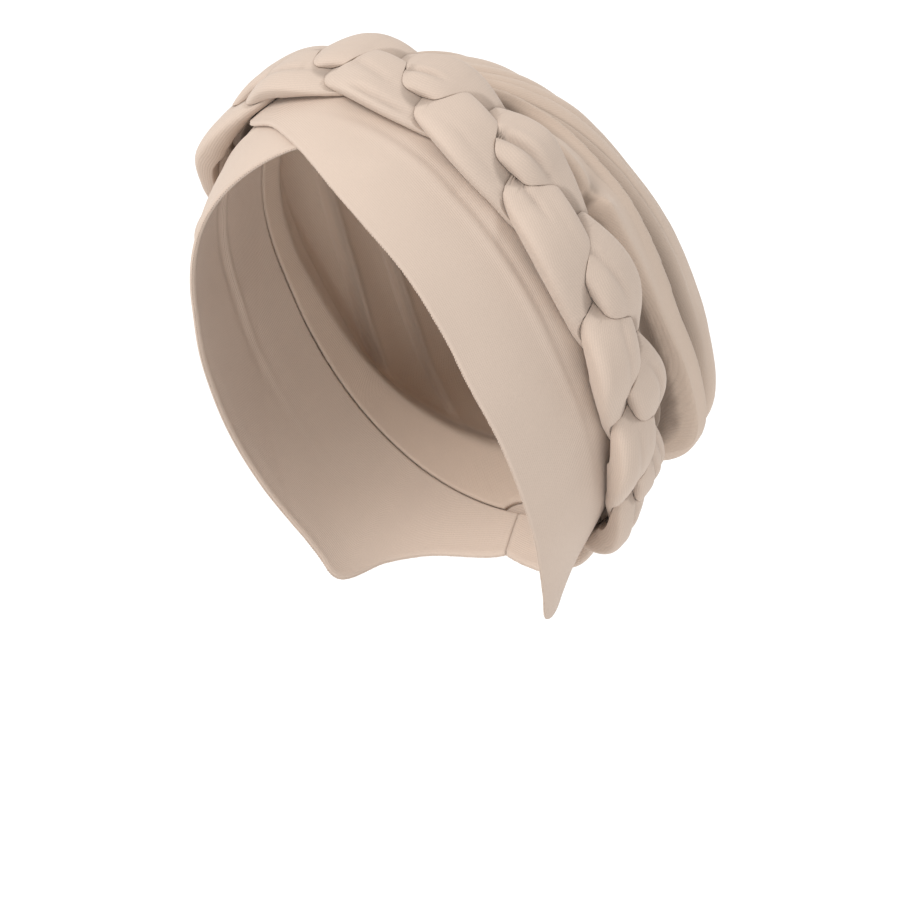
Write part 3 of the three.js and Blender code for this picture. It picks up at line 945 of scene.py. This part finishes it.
def folding_tree():
    """Raises the cloth by the relief kept with its points, with a little unevenness."""
    tree = bpy.data.node_groups.new("Fold the cloth", "GeometryNodeTree")
    socket(tree, "Geometry", "NodeSocketGeometry")
    socket(tree, "Fold depth", "NodeSocketFloat", default=1.0)
    socket(tree, "Unevenness", "NodeSocketFloat", default=0.0002)
    socket(tree, "Seed", "NodeSocketInt", default=3)
    socket(tree, "Material", "NodeSocketMaterial")
    socket(tree, "Geometry", "NodeSocketGeometry", "OUTPUT")
    start = tree.nodes.new("NodeGroupInput").outputs
    end = tree.nodes.new("NodeGroupOutput").inputs
    relief = linked(
        tree, "GeometryNodeInputNamedAttribute", [("Name", "relief")], data_type="FLOAT"
    )
    rise = linked(
        tree, "GeometryNodeInputNamedAttribute", [("Name", "rise")], data_type="FLOAT_VECTOR"
    )
    noise = linked(
        tree,
        "ShaderNodeTexNoise",
        [("Scale", 90.0), ("W", start["Seed"])],
        noise_dimensions="4D",
    )
    uneven = math_node(tree, "MULTIPLY_ADD", noise.outputs[0], 2.0, -1.0)
    uneven = math_node(tree, "MULTIPLY", uneven, start["Unevenness"])
    lift = math_node(
        tree, "MULTIPLY_ADD", relief.outputs["Attribute"], start["Fold depth"], uneven
    )
    offset = linked(
        tree,
        "ShaderNodeVectorMath",
        [(0, rise.outputs["Attribute"]), ("Scale", lift)],
        operation="SCALE",
    )
    moved = linked(
        tree,
        "GeometryNodeSetPosition",
        [("Geometry", start["Geometry"]), ("Offset", offset.outputs[0])],
    )
    real = linked(tree, "GeometryNodeRealizeInstances", [("Geometry", moved.outputs[0])])
    done = linked(
        tree,
        "GeometryNodeSetMaterial",
        [("Geometry", real.outputs[0]), ("Material", start["Material"])],
    )
    tree.links.new(done.outputs[0], end[0])
    return tree


def edge_loops_tree():
    """Small knit loops, evenly spaced along the front edge of a band."""
    tree = bpy.data.node_groups.new("Loops along the edge", "GeometryNodeTree")
    socket(tree, "Geometry", "NodeSocketGeometry")
    socket(tree, "Spacing", "NodeSocketFloat", default=0.0011)
    socket(tree, "Loop size", "NodeSocketFloat", default=0.0003)
    socket(tree, "Seed", "NodeSocketInt", default=5)
    socket(tree, "Material", "NodeSocketMaterial")
    socket(tree, "Geometry", "NodeSocketGeometry", "OUTPUT")
    start = tree.nodes.new("NodeGroupInput").outputs
    end = tree.nodes.new("NodeGroupOutput").inputs
    edge = linked(
        tree, "GeometryNodeInputNamedAttribute", [("Name", "front_edge")], data_type="BOOLEAN"
    )
    line = linked(
        tree,
        "GeometryNodeMeshToCurve",
        [("Mesh", start["Geometry"]), ("Selection", edge.outputs["Attribute"])],
    )
    even = linked(
        tree,
        "GeometryNodeResampleCurve",
        [("Curve", line.outputs[0]), ("Length", start["Spacing"])],
        mode="LENGTH",
    )
    bead = linked(
        tree,
        "GeometryNodeMeshUVSphere",
        [("Segments", 6), ("Rings", 5), ("Radius", 1.0)],
    )
    size = linked(
        tree,
        "FunctionNodeRandomValue",
        [(2, 0.8), (3, 1.2), ("Seed", start["Seed"])],
        data_type="FLOAT",
    )
    scale = math_node(tree, "MULTIPLY", size.outputs[1], start["Loop size"])
    longer = math_node(tree, "MULTIPLY", scale, 1.6)
    shape = linked(tree, "ShaderNodeCombineXYZ", [("X", scale), ("Y", scale), ("Z", longer)])
    along = linked(tree, "GeometryNodeInputTangent")
    turn = linked(
        tree,
        "FunctionNodeAlignRotationToVector",
        [("Vector", along.outputs[0])],
        axis="Z",
    )
    beads = linked(
        tree,
        "GeometryNodeInstanceOnPoints",
        [
            ("Points", even.outputs[0]),
            ("Instance", bead.outputs[0]),
            ("Rotation", turn.outputs[0]),
            ("Scale", shape.outputs[0]),
        ],
    )
    both = linked(tree, "GeometryNodeJoinGeometry", [(0, beads.outputs[0])])
    tree.links.new(start["Geometry"], both.inputs[0])
    real = linked(tree, "GeometryNodeRealizeInstances", [("Geometry", both.outputs[0])])
    done = linked(
        tree,
        "GeometryNodeSetMaterial",
        [("Geometry", real.outputs[0]), ("Material", start["Material"])],
    )
    tree.links.new(done.outputs[0], end[0])
    return tree


def run_nodes(thing, tree, **values):
    """Apply a node tree to an object and keep the result as its plain mesh."""
    step = thing.modifiers.new(tree.name, "NODES")
    step.node_group = tree
    for item in tree.interface.items_tree:
        if item.item_type == "SOCKET" and item.in_out == "INPUT":
            name = item.name.lower().replace(" ", "_")
            if name in values:
                step[item.identifier] = values[name]
    graph = bpy.context.evaluated_depsgraph_get()
    made = bpy.data.meshes.new_from_object(thing.evaluated_get(graph))
    thing.modifiers.remove(step)
    old, thing.data = thing.data, made
    made.name = thing.name
    bpy.data.meshes.remove(old)
    for name in ("relief", "rise", "front_edge"):
        if name in made.attributes:
            made.attributes.remove(made.attributes[name])
    made.polygons.foreach_set("use_smooth", np.ones(len(made.polygons), bool))


# --------------------------------------------------------------- settings and steps


class HeadwrapSizes(bpy.types.PropertyGroup):
    """Sizes of the headwrap's pieces."""

    wall: FloatProperty(
        name="Cloth wall",
        description="Thickness of the bands and the crown",
        default=0.002,
        unit="LENGTH",
    )
    layer_gap: FloatProperty(
        name="Layer gap",
        description="Room between the two bands where they cross",
        default=0.0005,
        unit="LENGTH",
    )
    seat: FloatProperty(
        name="Braid seat",
        description="How far the bands run on behind the middle of the braid",
        default=0.004,
        unit="LENGTH",
    )
    hem: FloatProperty(
        name="Rolled edge",
        description="Width of the fold along the bands' front edges",
        default=0.0022,
        unit="LENGTH",
    )
    braid_width: FloatProperty(
        name="Braid width",
        description="Width of the flat braid over its three strands",
        default=0.033,
        unit="LENGTH",
    )
    braid_rise: FloatProperty(
        name="Braid rise",
        description="Height of the braid over the bands",
        default=0.0145,
        unit="LENGTH",
    )
    strand_gap: FloatProperty(
        name="Strand gap",
        description="Room between two strands that press on each other",
        default=0.0001,
        unit="LENGTH",
    )
    slouch: FloatProperty(
        name="Slouch",
        description="How far the crown hangs out at the back",
        default=0.042,
        unit="LENGTH",
    )
    fold_share: FloatProperty(
        name="Fold depth",
        description="Depth of the pleats and creases as a share of their full depth",
        default=1.0,
        min=0.0,
        max=1.2,
        subtype="FACTOR",
    )
    loop_spacing: FloatProperty(
        name="Loop spacing",
        description="Distance between the knit loops along the bands' front edges",
        default=0.0011,
        unit="LENGTH",
    )
    loop_size: FloatProperty(
        name="Loop size",
        description="Half the thickness of one knit loop along the edge",
        default=0.0003,
        unit="LENGTH",
    )


class HeadwrapLooks(bpy.types.PropertyGroup):
    """Colours of the jersey and the light on it."""

    band_colour: FloatVectorProperty(
        name="Band colour",
        description="Jersey of the two bands",
        default=(0.6, 0.483, 0.4, 1.0),
        size=4,
        subtype="COLOR",
        min=0.0,
        max=1.0,
    )
    crown_colour: FloatVectorProperty(
        name="Crown colour",
        description="Jersey of the pleated crown",
        default=(0.606, 0.478, 0.385, 1.0),
        size=4,
        subtype="COLOR",
        min=0.0,
        max=1.0,
    )
    braid_colour: FloatVectorProperty(
        name="Braid colour",
        description="Jersey of the braid's strands",
        default=(0.6, 0.483, 0.4, 1.0),
        size=4,
        subtype="COLOR",
        min=0.0,
        max=1.0,
    )
    # Darker share for the dye's unevenness and for the painted shade between the stitches.
    shade: FloatProperty(
        name="Shade",
        description="How dark the cloth is between its stitches, as a share of its colour",
        default=0.86,
        min=0.0,
        max=1.0,
        subtype="FACTOR",
    )
    # Painted shade deep in the folds.
    fold_shade: FloatProperty(
        name="Fold shade",
        description="How dark the cloth is deep in its folds, as a share of its colour",
        default=0.34,
        min=0.0,
        max=1.0,
        subtype="FACTOR",
    )
    floor_drop: FloatProperty(
        name="Floor drop",
        description="Distance of the floor below the top of the hollow",
        default=0.6,
        unit="LENGTH",
    )


class HEADWRAP_OT_bands(bpy.types.Operator):
    """Make the two smooth bands that cross over the forehead"""

    bl_idname = "headwrap.bands"
    bl_label = "Make the bands"
    bl_options = {"REGISTER", "UNDO"}

    def execute(self, context):
        sizes = context.scene.headwrap_sizes
        material = material_for("band_jersey")
        tree = edge_loops_tree()
        for side, node in ((1, "wrap_left"), (-1, "wrap_right")):
            sections, lengths, front, width, length = band_sections(side, sizes)
            band = cloth_mesh(node + "_cloth", sections, lengths, False, material, front=front)
            run_nodes(
                band,
                tree,
                spacing=sizes.loop_spacing,
                loop_size=sizes.loop_size,
                seed=8 + side,
                material=material,
            )
            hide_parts(node)
            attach(band, "root")
        return {"FINISHED"}


class HEADWRAP_OT_crown(bpy.types.Operator):
    """Make the pleated crown that is gathered under the braid"""

    bl_idname = "headwrap.crown"
    bl_label = "Make the crown"
    bl_options = {"REGISTER", "UNDO"}

    def execute(self, context):
        sizes = context.scene.headwrap_sizes
        sections, lengths, relief, rise, shade, width, length = crown_sections(sizes)
        material = material_for("crown_jersey")
        crown = cloth_mesh(
            "crown_cloth", sections, lengths, False, material, relief, rise, shade
        )
        run_nodes(crown, folding_tree(), fold_depth=sizes.fold_share, seed=7, material=material)
        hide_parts("crown")
        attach(crown, "root")
        # The cut is a rounded panel, gathered into the forehead and the nape.
        return {"FINISHED"}


class HEADWRAP_OT_braid(bpy.types.Operator):
    """Plait the three stuffed strands into a ring"""

    bl_idname = "headwrap.braid"
    bl_label = "Make the braid"
    bl_options = {"REGISTER", "UNDO"}

    def execute(self, context):
        sizes = context.scene.headwrap_sizes
        material = material_for("braid_jersey")
        tree = folding_tree()
        for index in range(3):
            sections, lengths, relief, rise, shade = strand_sections(index, sizes)
            node = f"braid_strand_{index + 1}"
            strand = cloth_mesh(
                node + "_cloth", sections, lengths, True, material, relief, rise, shade
            )
            run_nodes(
                strand,
                tree,
                fold_depth=sizes.fold_share,
                unevenness=0.00015,
                seed=20,
                material=material,
            )
            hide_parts(node)
            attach(strand, "root")
        return {"FINISHED"}


def soft_light(name, direction, spread, strength, colour):
    """Even light from one side, as soft as a wide screen makes it."""
    light = bpy.data.lights.new(name, "SUN")
    light.angle = math.radians(spread)
    light.energy = strength
    light.color = colour
    lamp = bpy.data.objects.new(name, light)
    lamp.location = direction
    lamp.rotation_euler = Vector(direction).to_track_quat("Z", "Y").to_euler()
    bpy.context.scene.collection.objects.link(lamp)


class HEADWRAP_OT_stage(bpy.types.Operator):
    """Set the pale floor, the soft light and the camera"""

    bl_idname = "headwrap.stage"
    bl_label = "Set the stage"
    bl_options = {"REGISTER", "UNDO"}

    def execute(self, context):
        scene = context.scene
        looks = scene.headwrap_looks
        mesh = bpy.data.meshes.new("floor")
        z, far = -looks.floor_drop, FLOOR_HALF
        corners = [(-far, -far, z), (far, -far, z), (far, far, z), (-far, far, z)]
        mesh.from_pydata(corners, [], [(0, 1, 2, 3)])
        floor = bpy.data.objects.new("floor", mesh)
        scene.collection.objects.link(floor)
        paint = bpy.data.materials.new("floor_paint")
        paint.use_nodes = True
        shader = paint.node_tree.nodes["Principled BSDF"]
        shader.inputs["Base Color"].default_value = (0.95, 0.95, 0.95, 1.0)
        shader.inputs["Roughness"].default_value = 1.0
        shader.inputs["Specular IOR Level"].default_value = 0.0
        mesh.materials.append(paint)

        world = bpy.data.worlds.new("studio")
        world.use_nodes = True
        sky = world.node_tree.nodes["Background"]
        sky.inputs["Color"].default_value = (1.0, 1.0, 1.0, 1.0)
        sky.inputs["Strength"].default_value = ROOM_LIGHT
        scene.world = world
        soft_light("key", *KEY_LIGHT)
        scene.view_settings.view_transform = "Standard"

        azimuth, elevation = (math.radians(angle) for angle in CAMERA_ANGLES)
        back = Vector(
            (
                math.sin(azimuth) * math.cos(elevation),
                -math.cos(azimuth) * math.cos(elevation),
                math.sin(elevation),
            )
        )
        right = Vector((math.cos(azimuth), math.sin(azimuth), 0.0))
        up = back.cross(right)
        pivot = Vector(CAMERA_PIVOT)
        aim = pivot + right * CAMERA_SHIFT[0] + up * CAMERA_SHIFT[1]
        camera_data = bpy.data.cameras.new("camera")
        camera = bpy.data.objects.new("camera", camera_data)
        camera.location = pivot + back * CAMERA_DISTANCE
        camera.rotation_euler = (aim - camera.location).to_track_quat("-Z", "Y").to_euler()
        camera_data.sensor_width = SENSOR_WIDTH
        camera_data.lens = SENSOR_WIDTH * (aim - camera.location).length / PICTURE_WIDTH
        camera_data.clip_end = 200.0
        scene.collection.objects.link(camera)
        scene.camera = camera
        return {"FINISHED"}


class HEADWRAP_PT_panel(bpy.types.Panel):
    """Headwrap sizes, colours and steps"""

    bl_label = "Turban headwrap"
    bl_idname = "HEADWRAP_PT_panel"
    bl_space_type = "VIEW_3D"
    bl_region_type = "UI"
    bl_category = "Headwrap"

    def draw(self, context):
        layout = self.layout
        for group in (context.scene.headwrap_sizes, context.scene.headwrap_looks):
            box = layout.box()
            for name in group.bl_rna.properties.keys():
                if name not in ("rna_type", "name"):
                    box.prop(group, name)
        for step in STEPS:
            layout.operator(step.bl_idname)


STEPS = (HEADWRAP_OT_stage, HEADWRAP_OT_crown, HEADWRAP_OT_bands, HEADWRAP_OT_braid)
CLASSES = (HeadwrapSizes, HeadwrapLooks, *STEPS, HEADWRAP_PT_panel)


def register():
    for each in CLASSES:
        bpy.utils.register_class(each)
    bpy.types.Scene.headwrap_sizes = PointerProperty(type=HeadwrapSizes)
    bpy.types.Scene.headwrap_looks = PointerProperty(type=HeadwrapLooks)


def unregister():
    del bpy.types.Scene.headwrap_looks
    del bpy.types.Scene.headwrap_sizes
    for each in reversed(CLASSES):
        bpy.utils.unregister_class(each)


def main():
    register()
    bpy.ops.headwrap.stage()
    bpy.ops.headwrap.crown()
    bpy.ops.headwrap.bands()
    bpy.ops.headwrap.braid()


if __name__ == "__main__":
    main()
